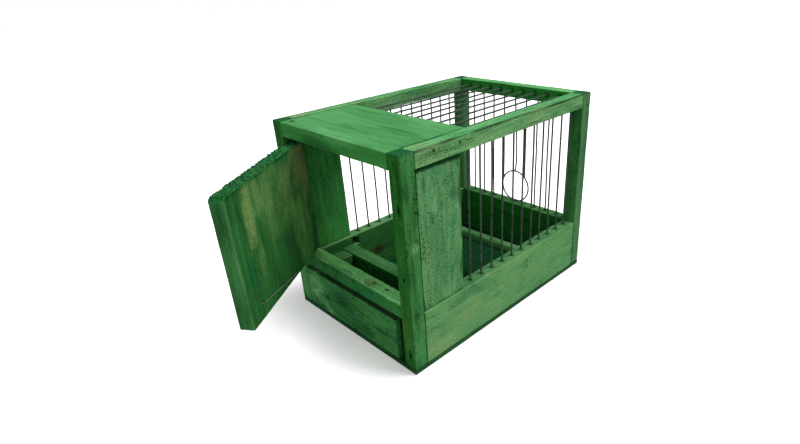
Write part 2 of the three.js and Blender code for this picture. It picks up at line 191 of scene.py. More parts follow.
# Colours of each board: its upper faces, its sides, the faces toward -Y and those toward +Y. They are partly the
# stain and partly painted light and shade, each face made lighter or darker for the light it gets.
TONES = {
    "roof": {"top": (83, 160, 94), "side": (84, 150, 92), "front": (62, 150, 70), "back": (60, 130, 70)},
    "post": {"top": (34, 100, 52), "side": (61, 129, 65), "front": (44, 120, 42), "back": (60, 120, 62)},
    "rear_post": {"top": (36, 102, 54), "side": (72, 126, 78), "front": (60, 126, 62), "back": (60, 120, 62)},
    "top_rail": {"top": (103, 182, 113), "side": (115, 176, 111), "front": (38, 134, 44), "back": (70, 130, 72)},
    "far_top_rail": {"top": (97, 168, 106), "side": (92, 154, 94), "front": (40, 100, 42), "back": (70, 130, 72)},
    "bottom_rail": {"top": (84, 140, 86), "side": (100, 160, 98), "front": (60, 120, 60), "back": (70, 130, 72)},
    # The far rail's sides and front are painted shade, darkened as the cage's shaded inside.
    "far_rail": {"top": (100, 156, 100), "side": (46, 106, 46), "front": (46, 106, 46), "back": (60, 120, 62)},
    "panel": {"top": (60, 110, 64), "side": (92, 154, 95), "front": (60, 120, 60), "back": (70, 130, 72)},
    "far_panel": {"top": (60, 110, 64), "side": (64, 152, 70), "front": (50, 110, 50), "back": (60, 120, 62)},
    # The sill's top is painted light: far lighter than its stain, making up for the light the roof board keeps off
    # it.
    "sill": {"top": (156, 244, 150), "side": (70, 130, 72), "front": (56, 138, 66), "back": (50, 100, 50)},
    # The drawer's top is painted shade, as dark as the gap under the sill.
    "drawer": {"top": (38, 84, 44), "side": (60, 124, 68), "front": (60, 140, 70), "back": (40, 90, 44)},
    # The inside boards' faces toward the door are painted lighter: painted light on the cage's shaded inside.
    "inside": {"top": (66, 124, 68), "side": (56, 116, 58), "front": (28, 112, 32), "back": (36, 86, 40)},
    "base": {"top": (16, 74, 38), "side": (40, 90, 46), "front": (40, 80, 38), "back": (30, 70, 36)},
    "door": {"top": (20, 100, 40), "side": (56, 122, 62), "front": (58, 120, 58), "back": (41, 104, 45)},
    "perch": {"top": (94, 150, 94), "side": (106, 168, 104), "front": (68, 130, 68), "back": (76, 138, 78)},
}
BARE = (1.45, 1.1, 1.15)  # how much lighter a board is where the stain has worn thin
POOLED = (0.42, 0.72, 0.74)  # and how much darker where it has gathered
PORE = (0.2, 0.48, 0.4)
FLECK = (1.8, 1.28, 1.45)
DARK_IS_GREENER = (1.45, 0.95, 1.2)  # powers of a board's light and dark, for red, green and blue
# Tint and waver of the dark lines: seams between boards, and painted shadow bands where one board shades another.
SEAM_AND_SHADOW = (0.06, 0.2, 0.08)
SEAM_AND_SHADOW_WAVER = 1.3 * MM
# Stains in places, as they look on a screen.
TAN = (130, 166, 106)
TEAL = (28, 112, 72)
DEEP = (14, 74, 34)
BLACKENED = (10, 36, 18)
KNOT = (46, 40, 16)
RUST = srgb(74, 66, 48)


def grain_frame(shader, run, seed):
    """Object coordinates with x along the grain, moved so that no two boards share a figure."""
    parts = shader.split(shader.coordinates())
    u, v = [parts[i] for i in SECTION_AXES[run]]
    rng = random.Random(seed)
    shift = [rng.uniform(-5, 5) for _ in range(3)]
    return [shader.add(c, s) for c, s in zip((parts[RUN_AXIS[run]], u, v), shift)]


def board_tone(shader, tones):
    """The colour by the way a face looks: the stain, with painted light and shade by the face's direction."""
    _, y, z = shader.split(shader.normal())
    colour = shader.mix(shader.remap(z, 0.45, 0.75), srgb(*tones["side"]), srgb(*tones["top"]))
    colour = shader.mix(shader.remap(y, 0.45, 0.75), colour, srgb(*tones["back"]))
    return shader.mix(shader.remap(y, -0.45, -0.75), colour, srgb(*tones["front"]))


def arris_distance(shader, run, box_of):
    """How far a point of a board's face is from its nearest long edge."""
    low, high = box_of
    parts = shader.split(shader.coordinates())
    depths = []
    for i in SECTION_AXES[run]:
        offset = shader.math("ABSOLUTE", shader.subtract(parts[i], (low[i] + high[i]) / 2))
        depths.append(shader.subtract((high[i] - low[i]) / 2, offset))
    return shader.math("MAXIMUM", *depths)


class Grain:
    """The noises that a board's figure and stain are made of, drawn out along the grain."""

    def __init__(self, shader, run, seed):
        along, u, v = grain_frame(shader, run, seed)

        def drawn_out(stretch, scale, **more):
            return shader.noise(shader.join(shader.multiply(along, stretch), u, v), scale, **more)

        self.figure = drawn_out(0.06, 260, detail=5, roughness=0.6, distortion=0.3)
        self.fibre = drawn_out(0.05, 900, detail=3, roughness=0.65)
        self.broad = drawn_out(0.22, 48, detail=4, roughness=0.5, distortion=0.6)
        self.cloud = drawn_out(0.7, 40, detail=7, roughness=0.62)
        self.patch = drawn_out(0.35, 24, detail=4, roughness=0.5)
        self.speck = drawn_out(0.7, 720, detail=3, roughness=0.7)
        self.drift = drawn_out(0.3, 85, detail=5, roughness=0.6, distortion=1.5)


def add_spots(shader, grain, colour, run, spots):
    """Mixes spots into the colour, their borders frayed along the grain: stain, and on the door also painted light.
    """
    broken = shader.remap(grain.speck, 0.4, 0.56, 0.8, 1)
    for centre, radius, stretch, spot_colour, strength in spots:
        offset = shader.vector_math("SUBTRACT", shader.coordinates(), tuple(centre))
        squeeze = [1.0, 1.0, 1.0]
        squeeze[RUN_AXIS[run]] = 1 / stretch
        distance = shader.vector_math("LENGTH", shader.vector_math("MULTIPLY", offset, tuple(squeeze)))
        fray = shader.add(shader.swing(grain.cloud, radius * 2.2), shader.swing(grain.figure, radius * 0.9))
        edge = shader.remap(shader.add(distance, fray), radius * 0.2, radius, strength, 0)
        colour = shader.mix(shader.multiply(edge, broken), colour, spot_colour)
    return colour


def add_waves(shader, grain, colour, streak, pores):
    """Lighter and darker stretches along the grain. The darker ones are also greener."""
    waves = shader.add(shader.swing(grain.figure, 2.4 * streak), shader.swing(grain.fibre, 2.0 * streak))
    waves = shader.add(waves, shader.swing(grain.broad, 1.8 * streak))
    grit = shader.add(shader.swing(grain.speck, 5.0 * pores), shader.swing(grain.drift, 2.4 * pores))
    light = shader.math("MAXIMUM", shader.add(shader.add(waves, grit), 1.0 + 0.12 * pores), 0.2)
    depth = shader.join(*(shader.math("POWER", light, power) for power in DARK_IS_GREENER))
    return shader.vector_math("MULTIPLY", colour, depth)


def add_wear(shader, grain, colour, pores, bare, blotch):
    """Worn and pooled patches, then dark pores and light flecks in drifts."""
    colour = shader.tinted(colour, BARE, shader.remap(grain.patch, 0.5, 0.68, 0, bare))
    colour = shader.tinted(colour, POOLED, shader.remap(grain.cloud, 0.5, 0.7, 0, blotch))
    clusters = shader.remap(grain.drift, 0.42, 0.6, 0.1, 1)
    pits = shader.multiply(shader.remap(grain.speck, 0.5, 0.58, 0, min(1.0, pores * 1.2)), clusters)
    colour = shader.tinted(colour, PORE, pits)
    return shader.tinted(colour, FLECK, shader.remap(grain.speck, 0.46, 0.38, 0, pores * 0.6))


def add_seams(shader, grain, colour, seams):
    """Dark ragged lines where a board meets its neighbour, and painted shadow bands where a neighbour shades it."""
    for axis, place, width, strength, *tint in seams:
        offset = shader.math("ABSOLUTE", shader.subtract(shader.split(shader.coordinates())[axis], place))
        ragged = shader.add(offset, shader.swing(grain.drift, min(width, SEAM_AND_SHADOW_WAVER) * 2.5))
        share = shader.remap(ragged, width * 0.4, width, strength, 0)
        colour = shader.tinted(colour, tint[0] if tint else SEAM_AND_SHADOW, share)
    return colour


def add_rubbing(shader, grain, colour, run, box_of, rub):
    """The lighter line of a rubbed arris."""
    arris = shader.add(arris_distance(shader, run, box_of), shader.swing(grain.speck, 1.6 * MM))
    worn = shader.remap(grain.patch, 0.5 - 0.45 * rub, 0.7 - 0.4 * rub)
    return shader.tinted(colour, FLECK, shader.multiply(shader.remap(arris, 0.3 * MM, 1.6 * MM, rub, 0), worn))


def add_ends(shader, grain, colour, run, box_of, end_tone, torn):
    """Stain that has gathered near a board's ends, and the torn end grain itself."""
    end_face = shader.math("ABSOLUTE", shader.split(shader.normal())[RUN_AXIS[run]])
    gathered = shader.multiply(end_stain(shader, run, box_of, grain.cloud), shader.remap(end_face, 0.5, 0.2))
    colour = shader.tinted(colour, POOLED, gathered)
    tufts = shader.noise(shader.coordinates(), 620, detail=5, roughness=0.75, distortion=1.0)
    soaked = shader.mix(shader.remap(grain.cloud, 0.4, 0.7, 0, 0.5), srgb(*end_tone), srgb(*TEAL))
    soaked = shader.scaled(soaked, shader.remap(tufts, 0.36, 0.66, 1 - torn, 1 + torn))
    return shader.mix(shader.remap(end_face, 0.55, 0.8), colour, soaked)


def stained_wood(
    name, tone, run, seed, box_of=None, pores=0.5, blotch=0.5, bare=0.3, streak=0.5, rub=0.4, torn=0.5,
    spots=(), wires=None, seams=(),
):
    """Green-stained softwood.

    pores, blotch, bare, streak and rub say how much of each the board shows, torn how rough the end grain is.
    spots are (place, radius, stretch along the grain, colour, strength) of stain, and on the door also of painted
    light. wires is (axis, first place, pitch, across, centre, facing) of the grille that enters the board, where
    stain has gathered. The dark lines are (axis, place, width, strength, and a tint unless it is the usual dark
    tint) of seams where the board meets a neighbour, and of painted shadow where a neighbour shades it.
    """
    shader = Shader(bpy.data.materials.new(name))
    grain = Grain(shader, run, seed)
    tones = TONES[tone]
    colour = add_spots(shader, grain, board_tone(shader, tones), run, spots)
    colour = add_waves(shader, grain, colour, streak, pores)
    colour = add_wear(shader, grain, colour, pores, bare, blotch)
    colour = add_seams(shader, grain, colour, seams)
    if wires:
        colour = shader.tinted(colour, SEAM_AND_SHADOW, shader.multiply(wire_stain(shader, grain.cloud, *wires), 0.8))
    if box_of:
        colour = add_rubbing(shader, grain, colour, run, box_of, rub)
        colour = add_ends(shader, grain, colour, run, box_of, tones["top" if run == "z" else "front"], torn)
    height = shader.add(shader.multiply(grain.figure, 0.5), shader.multiply(grain.fibre, 0.5))
    height = shader.subtract(height, shader.multiply(shader.remap(grain.speck, 0.48, 0.62), pores))
    return shader.principled(
        Base_Color=colour, Roughness=shader.remap(grain.cloud, 0.3, 0.7, 0.7, 0.88), Specular_IOR_Level=0.12,
        Normal=shader.bump(height, 0.6, 0.4 * MM),
    )


def wire_stain(shader, cloud, axis, first, pitch, across, centre, facing):
    """Dark spots, one round each hole of a row of bored holes, on the face that looks along facing."""
    parts = shader.split(shader.coordinates())
    along = shader.math("DIVIDE", shader.subtract(parts[RUN_AXIS[axis]], first - pitch / 2), pitch)
    offset = shader.multiply(shader.subtract(shader.math("FRACT", along), 0.5), pitch)
    side = shader.subtract(parts[RUN_AXIS[across]], centre)
    distance = shader.vector_math("LENGTH", shader.join(offset, side, 0.0))
    distance = shader.add(distance, shader.swing(cloud, 4 * MM))
    entered = shader.remap(shader.vector_math("DOT_PRODUCT", shader.normal(), facing), 0.3, 0.6)
    return shader.multiply(shader.remap(distance, 1.4 * MM, 4.2 * MM, 1.0, 0), entered)


def end_stain(shader, run, box_of, cloud):
    """Stain that has gathered at the two ends of a board, where it meets its neighbours."""
    low, high = box_of
    i = RUN_AXIS[run]
    place = shader.split(shader.coordinates())[i]
    nearest = shader.math("MINIMUM", shader.subtract(place, low[i]), shader.subtract(high[i], place))
    ragged = shader.subtract(nearest, shader.swing(cloud, 5 * MM))
    return shader.remap(ragged, 0, 2.2 * MM, 0.8, 0)


def steel(name, tone, roughness=0.42, metallic=0.75, specular=0.5):
    """Dull drawn wire, with darker and faintly brown stretches."""
    shader = Shader(bpy.data.materials.new(name))
    place = shader.coordinates()
    smut = shader.noise(place, 160, detail=5)
    rust = shader.noise(place, 60, detail=4)
    colour = shader.mix(shader.remap(smut, 0.4, 0.7), tone, tuple(c * 0.45 for c in tone))
    colour = shader.mix(shader.remap(rust, 0.6, 0.75, 0, 0.3), colour, RUST)
    fine = shader.noise(place, 2600, detail=2)
    return shader.principled(
        Base_Color=colour, Roughness=shader.remap(smut, 0.3, 0.7, roughness, roughness + 0.2), Metallic=metallic,
        Specular_IOR_Level=specular, Normal=shader.bump(fine, 0.15, 0.05 * MM),
    )


# Meshes.


def linked(name, data):
    """A new object in the scene."""
    made = bpy.data.objects.new(name, data)
    bpy.context.scene.collection.objects.link(made)
    return made


def new_mesh(name, vertices, faces):
    mesh = bpy.data.meshes.new(name)
    mesh.from_pydata(vertices, [], faces)
    return mesh


def new_object(name, vertices, faces, material, body):
    mesh = new_mesh(name, vertices, faces)
    mesh.validate()
    mesh.materials.append(material)
    piece = linked(name, mesh)
    for polygon in mesh.polygons:
        polygon.use_smooth = True
    if body:
        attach(piece, body)
    return piece


def wave(seed, k, t, frequency):
    """A smooth random value between -1 and 1 along a board's edge k."""
    return noise.noise(Vector((seed * 7.13 + k * 3.7, t * frequency, seed * 1.9)))


def outline_points(low, high, radii, inset, counts, arc_steps=4):
    """Points round a rectangle with its own radius at each corner, and the outward direction at each."""
    (u0, v0), (u1, v1) = (low[0] + inset, low[1] + inset), (high[0] - inset, high[1] - inset)
    corners = [(u0, v0, 1, 1), (u1, v0, -1, 1), (u1, v1, -1, -1), (u0, v1, 1, -1)]
    centres = [(u + du * radius, v + dv * radius) for (u, v, du, dv), radius in zip(corners, radii)]

    def on_arc(k, degrees):
        angle = math.radians(degrees)
        du, dv = math.cos(angle), math.sin(angle)
        return centres[k][0] + radii[k] * du, centres[k][1] + radii[k] * dv, du, dv

    points = []
    for k in range(4):
        start = (180 + 90 * k) % 360
        points += [on_arc(k, start + 90 * step / arc_steps) for step in range(arc_steps + 1)]
        last, target = points[-1], on_arc((k + 1) % 4, start + 90)
        for step in range(1, counts[k]):
            share = step / counts[k]
            points.append((*(a + (b - a) * share for a, b in zip(last[:2], target[:2])), *target[2:]))
    return points


def board_stations(start, end, ease, pitch):
    """Places along a board with the inset of its section there: eased ends and an even pitch between."""
    ends = [(start, ease), (start + 0.12 * ease, 0.52 * ease), (start + 0.45 * ease, 0.16 * ease)]
    run = end - start - 2 * ease
    steps = max(2, round(run / pitch))
    stations = ends + [(start + ease + run * i / steps, 0.0) for i in range(steps + 1)]
    return stations + [(end - (place - start), inset) for place, inset in reversed(ends)]


def worn_corners(radii, limit, seed, place, wear, chips):
    """The four corner radii of a board's section at one place, rubbed and here and there chipped."""
    corners = []
    for k, radius in enumerate(radii):
        rubbed = 1 + wear * wave(seed, k, place, 60) + 0.4 * wear * wave(seed + 3, k, place, 240)
        chip = max(0.0, wave(seed + 11, k, place, 130) - 0.42) * chips * 8 * MM
        corners.append(min(limit, max(0.25 * MM, radius * max(0.35, rubbed) + chip)))
    return corners


def sunk(point, seed, rough, dents):
    """How deep an uneven face lies under its plane at a point."""
    shifted = point + Vector((seed * 0.37, seed * 0.11, -seed * 0.23))
    depth = rough * (0.5 + 0.5 * noise.noise(shifted * 90)) + 0.4 * rough * abs(noise.noise(shifted * 420))
    return depth + sum(deep * math.exp(-(((point - centre).length / radius) ** 2)) for centre, radius, deep in dents)


def worn_board(
    name, low, high, run, material, body, replaced, seed,
    ease=0.8 * MM, radii=None, wear=0.7, rough=0.12 * MM, pitch=3.0 * MM, chips=0.25, holes=(), dents=(),
):
    """A board with rubbed arrises, small chips and a slightly uneven face, no larger than low to high.

    radii gives each corner of the section its own radius. holes are (start, end, radius) of bored holes, dents
    (centre, radius, depth).
    """
    iu, iv = SECTION_AXES[run]
    ir = RUN_AXIS[run]
    section_low, section_high = (low[iu], low[iv]), (high[iu], high[iv])
    width, depth = high[iu] - low[iu], high[iv] - low[iv]
    counts = [max(2, round(side / pitch)) for side in (width, depth, width, depth)]
    stations = board_stations(low[ir], high[ir], ease, pitch)
    vertices = []
    for place, inset in stations:
        corners = worn_corners(radii or [ease] * 4, min(width, depth) * 0.499, seed, place, wear, chips)
        for pu, pv, du, dv in outline_points(section_low, section_high, corners, inset, counts):
            point = Vector((0, 0, 0))
            point[iu], point[iv], point[ir] = pu, pv, place
            depth_in = sunk(point, seed, rough, dents)
            point[iu] -= du * depth_in
            point[iv] -= dv * depth_in
            vertices.append(point)
    ring = len(vertices) // len(stations)
    faces = []
    for s in range(len(stations) - 1):
        for i in range(ring):
            j = (i + 1) % ring
            faces.append((s * ring + i, s * ring + j, (s + 1) * ring + j, (s + 1) * ring + i))
    faces.append(tuple(reversed(range(ring))))
    faces.append(tuple((len(stations) - 1) * ring + i for i in range(ring)))
    piece = new_object(name, vertices, faces, material, None)
    if holes:
        bore(piece, holes)
    finish_shading(piece)
    if body:
        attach(piece, body)
    if replaced:
        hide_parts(replaced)
    return piece


def bore(piece, holes):
    """Cuts round holes into a board."""
    vertices, faces = [], []
    for start, end, radius in holes:
        tube(vertices, faces, [start, end], [radius, radius], sides=14)
    subtract(piece, vertices, faces)


BOX_FACES = [(0, 1, 3, 2), (4, 6, 7, 5), (0, 4, 5, 1), (2, 3, 7, 6), (0, 2, 6, 4), (1, 5, 7, 3)]


def subtract(piece, vertices, faces):
    mesh = new_mesh(piece.name + "_cutter", vertices, faces)
    solid = bmesh.new()
    solid.from_mesh(mesh)
    bmesh.ops.recalc_face_normals(solid, faces=solid.faces)
    solid.to_mesh(mesh)
    solid.free()
    cutter = linked(mesh.name, mesh)
    cut = piece.modifiers.new("cut", "BOOLEAN")
    cut.operation = "DIFFERENCE"
    cut.solver = "EXACT"
    cut.object = cutter
    apply_modifiers(piece)
    bpy.data.objects.remove(cutter)


def apply_modifiers(piece):
    bpy.context.view_layer.update()
    evaluated = piece.evaluated_get(bpy.context.evaluated_depsgraph_get())
    mesh = bpy.data.meshes.new_from_object(evaluated)
    piece.modifiers.clear()
    piece.data = mesh


def finish_shading(piece, angle=38):
    for polygon in piece.data.polygons:
        polygon.use_smooth = True
    piece.data.set_sharp_from_angle(angle=math.radians(angle))
    piece.modifiers.clear()
    weighted = piece.modifiers.new("weighted", "WEIGHTED_NORMAL")
    weighted.keep_sharp = True


def tube(vertices, faces, path, radii, sides=12):
    """Adds a closed round rod along a path to a mesh's lists."""
    first = len(vertices)
    path = [Vector(p) for p in path]
    side = None
    for i, place in enumerate(path):
        ahead = path[min(i + 1, len(path) - 1)] - path[max(i - 1, 0)]
        ahead.normalize()
        if side is None:
            side = ahead.orthogonal().normalized()
        side = (side - ahead * side.dot(ahead)).normalized()
        other = ahead.cross(side)
        for k in range(sides):
            angle = 2 * math.pi * k / sides
            vertices.append(place + (side * math.cos(angle) + other * math.sin(angle)) * radii[i])
    for i in range(len(path) - 1):
        for k in range(sides):
            a, b = first + i * sides + k, first + i * sides + (k + 1) % sides
            faces.append((a, b, b + sides, a + sides))
    faces.append(tuple(first + k for k in reversed(range(sides))))
    faces.append(tuple(first + (len(path) - 1) * sides + k for k in range(sides)))


def hand_drawn(start, end, seed, bend=0.35 * MM):
    """A nearly straight wire: the line from start to end with a slight set in it."""
    steps = 10
    start, end = Vector(start), Vector(end)
    direction = (end - start).normalized()
    side = direction.orthogonal().normalized()
    other = direction.cross(side)
    path = []
    for i in range(steps + 1):
        share = i / steps
        swell = math.sin(math.pi * share)
        a = noise.noise(Vector((seed * 5.3, share * 1.7, 0.2))) * bend * swell * 2
        b = noise.noise(Vector((seed * 2.9, share * 1.7, 7.1))) * bend * swell * 2
        path.append(start + (end - start) * share + side * a + other * b)
    return path


def wire_piece(name, path, material, body, replaced, radius=WIRE_RADIUS):
    vertices, faces = [], []
    tube(vertices, faces, path, [radius] * len(path))
    piece = new_object(name, vertices, faces, material, body)
    piece.data.set_sharp_from_angle(angle=math.radians(50))
    if replaced:
        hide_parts(replaced)
    return piece


# The frame of boards.


def bored(places, low_end, high_end, radius=BORE_RADIUS):
    return [(Vector((*p, low_end)), Vector((*p, high_end)), radius) for p in places]


def left_wire_places():
    """Where the left side's wires stand, from the lower ends of the solid that they are part of."""
    ends = [v.co.y for v in frame["nodes"]["left_top_rail_and_wires"].data.vertices if v.co.z < 0.1]
    first, last = min(ends) + WIRE_RADIUS, max(ends) - WIRE_RADIUS
    return [first + (last - first) * i / 10 for i in range(11)]


RIGHT_WIRES = [f"right_wire_{i + 1}" for i in range(11)]
REAR_WIRES = [f"rear_wire_{i + 1}" for i in range(6)]
ROOF_WIRES = [f"roof_wire_{i + 1}" for i in range(9)]
WIRE_Y = [middle(n).y for n in RIGHT_WIRES]
WIRE_PITCH = WIRE_Y[1] - WIRE_Y[0]
LEFT_WIRE_Y = left_wire_places()
GRILLE_X = middle(RIGHT_WIRES[0]).x
GRILLE_Y = middle(REAR_WIRES[0]).y
REAR_X = [middle(n).x for n in REAR_WIRES]
ROOF_X = [middle(n).x for n in ROOF_WIRES]
ROOF_Z = middle(ROOF_WIRES[0]).z
SKIRT_TOP = box("right_bottom_rail")[1].z
RAIL_BOTTOM = box("right_top_rail")[0].z


UP, DOWN, TO_DOOR = (0, 0, 1), (0, 0, -1), (0, -1, 0)
MORTISE = ((75.0, 84.0), (-67.6, -60.0), (47.0, 54.6))  # its x, y and z on the near side, in millimetres
MORTISE_FLARE = 0.35


def at(x, y, z):
    """A point given in millimetres."""
    return Vector((x, y, z)) * MM


def spot(x, y, z, radius, stretch, colour, strength):
    """A spot of stain, with its place and radius in millimetres and its colour as on a screen. On the door some
    spots are painted light.
    """
    return at(x, y, z), radius * MM, stretch, srgb(*colour), strength


def dent(x, y, z, radius, depth):
    return at(x, y, z), radius * MM, depth * MM


def seam(axis, place, width, strength):
    return axis, place * MM, width * MM, strength


SHAPE_WORDS = ("ease", "radii", "wear", "rough", "pitch", "chips", "holes", "dents")


def board(node, tone, run, seed, body="cage", **more):
    """A worn board in place of a node of the same outer size. more is split between its look and its shape."""
    low, high = box(node)
    shape = {word: more.pop(word) for word in SHAPE_WORDS if word in more}
    material = stained_wood(f"wood_{node}", tone, run, seed, (low, high), **more)
    return worn_board(f"board_{node}", low, high, run, material, body, node, seed, **shape)


def make_posts():
    near_spots = [
        spot(90, -120, 67, 6, 1.6, (36, 132, 88), 0.7),
        spot(90, -124, 60, 5, 1.5, DEEP, 0.6),
        spot(90, -122, 122, 5.5, 1.3, (112, 168, 100), 0.8),
        spot(90, -118, 128, 3, 1.3, DEEP, 0.7),
        spot(90, -119, 20, 15, 2.0, (76, 150, 84), 0.5),
        spot(81, -130, 40, 5, 5.0, (84, 108, 44), 0.4),
        spot(90, -127, 172, 6, 3.0, DEEP, 0.6),
        spot(90, -119, 150, 6, 2.5, DEEP, 0.35),
        spot(90, -126, 96, 7, 3.0, DEEP, 0.4),
        spot(84, -130, 190, 7, 1.6, DEEP, 0.5),
    ] + [spot(84, -130, z, 3.0, 2.2, BLACKENED, 0.9) for z in (18, 94.9, 155.8)]
    board("front_right_post", "post", "z", 20, pores=0.75, blotch=0.6, bare=0.35, spots=near_spots)
    far_spots = [spot(-84, -130, 32, 26, 1.6, (92, 172, 92), 1.0)]
    board("front_left_post", "post", "z", 21, pores=0.5, blotch=0.6, bare=0.2, spots=far_spots)
    board("rear_right_post", "rear_post", "z", 22, pores=0.6, blotch=0.35, bare=0.3)
    board("rear_left_post", "rear_post", "z", 23, pores=0.5, blotch=0.4, bare=0.2)


def make_side(hand, side):
    places = WIRE_Y if side > 0 else LEFT_WIRE_Y
    grille = [(side * GRILLE_X, y) for y in places]
    row = ("y", places[0], WIRE_PITCH, "x", side * GRILLE_X)
    cut_mortise(bottom_rail(hand, side, grille, (*row, UP)), side)
    top_rail(hand, side, grille, (*row, DOWN))
    side_panel(hand, side)


def bottom_rail(hand, side, grille, stain):
    spots = [spot(side * 76, -32, 28.5, 9, 1.3, KNOT, 0.95), spot(side * 76, -18, 30, 8, 2.0, DEEP, 0.5)]
    dents = []
    if side > 0:
        spots = [
            spot(90, -98, 15, 20, 1.6, TAN, 0.65),
            spot(90, -58, 34, 17, 1.8, TAN, 0.5),
            spot(90, 24, 43, 6, 1.8, (56, 132, 84), 0.6),
            spot(90, -66, 50, 9, 1.8, TEAL, 0.5),
            spot(90, -48, 50, 6, 2.0, TEAL, 0.35),
            spot(90, -30, 57, 6, 1.6, TAN, 0.6),
        ]
        dents = [dent(90, -25.1, 54.7, 2.2, 1.0), dent(88, -28.9, 58, 2.4, 0.9)]
    return board(
        f"{hand}_bottom_rail", "bottom_rail" if side > 0 else "far_rail", "y", 31 + side,
        pitch=2.4 * MM, dents=dents, holes=bored(grille, SKIRT_TOP - 7 * MM, SKIRT_TOP + 2 * MM),
        pores=0.5, blotch=0.5, bare=0.6, streak=0.22, spots=spots, wires=stain,
        seams=[seam(1, -115.8, 1.0, 0.7), seam(1, 115.8, 1.0, 0.8)],
    )


def top_rail(hand, side, grille, stain):
    """A top rail. The left one's solid also holds its wires, so its underside is taken from the right one."""
    node, tone = ("right_top_rail", "top_rail") if side > 0 else ("left_top_rail_and_wires", "far_top_rail")
    low, high = box(node)
    low.z = RAIL_BOTTOM
    nail_dents = [spot(side * 90, y, z, 2.4, 1.0, BLACKENED, 0.95) for y, z in ((-95.6, 195.7), (-66.4, 194.8))]
    material = stained_wood(
        f"wood_{hand}_top_rail", tone, "y", 41 + side, (low, high),
        pores=0.75, blotch=0.2, bare=0.6, rub=0.1, streak=0.6, wires=stain,
        seams=[seam(1, -115.8, 0.8, 0.3), seam(1, 115.8, 1.0, 0.8)],
        spots=nail_dents + [
            spot(side * 90, 0, 200, 2.5, 900.0, BLACKENED, 0.9),
            spot(side * 82, -106, 200, 8, 2.0, TAN, 0.6),
            spot(side * 76, -80, 200, 2.2, 30.0, BLACKENED, 0.95),
            spot(90, -100, 192, 14, 1.8, (146, 182, 126), 0.6),
            spot(90, -40, 192, 8, 2.5, TAN, 0.35),
            spot(90, 40, 194, 12, 2.5, (136, 178, 118), 0.45),
        ],
    )
    worn_board(
        f"board_{hand}_top_rail", low, high, "y", material, "cage", node, 41 + side, pitch=2.4 * MM,
        holes=bored(grille, RAIL_BOTTOM - 2 * MM, RAIL_BOTTOM + 7 * MM), chips=0.35,
    )


def side_panel(hand, side):
    def outside(y, z, radius, stretch, colour, strength):
        return spot(side * 88.2, y, z, radius, stretch, colour, strength)

    board(
        f"{hand}_panel", "panel" if side > 0 else "far_panel", "z", 51 + side,
        rough=0.2 * MM, chips=0.1, ease=0.5 * MM,
        pores=1.25 if side > 0 else 0.5, blotch=0.6, bare=0.3, streak=0.4 if side > 0 else 0.6,
        # The first dark line is painted shadow cast by the top rail on the panel's top; the second is painted shade
        # in the gap along the front post; the third is the seam on the bottom rail.
        seams=[seam(2, 184.8, 4.4, 1.0), seam(1, -114.6, 1.5, 0.9), seam(2, 58.2, 0.9, 0.7)],
        spots=[
            outside(-65, 150, 4, 12.0, DEEP, 0.75), outside(-66, 84, 5, 5.0, DEEP, 0.75),
            outside(-76, 155, 6, 1.5, DEEP, 0.6), outside(-88, 148, 6, 1.3, DEEP, 0.5),
            outside(-99, 141, 5, 1.3, DEEP, 0.45), outside(-107, 170, 5, 2.0, DEEP, 0.55),
            outside(-80, 172, 8, 1.6, TAN, 0.4), outside(-107, 110, 5, 5.0, TAN, 0.4),
            outside(-72, 100, 9, 2.5, (58, 128, 68), 0.5),
            outside(-90, 122, 18, 1.4, (70, 134, 78), 0.6),
        ],
    )


def cut_mortise(rail, side):
    """The square mortise in a bottom rail's inner face, a little ragged at its mouth."""
    across, along, up = MORTISE
    vertices = []
    for x, flare in zip(across, (MORTISE_FLARE, 0.0)):
        for y in (along[0] - flare, along[1] + flare):
            for z in (up[0] - flare, up[1] + flare):
                vertices.append(at(side * x, y, z))
    subtract(rail, vertices, BOX_FACES)
    finish_shading(rail)


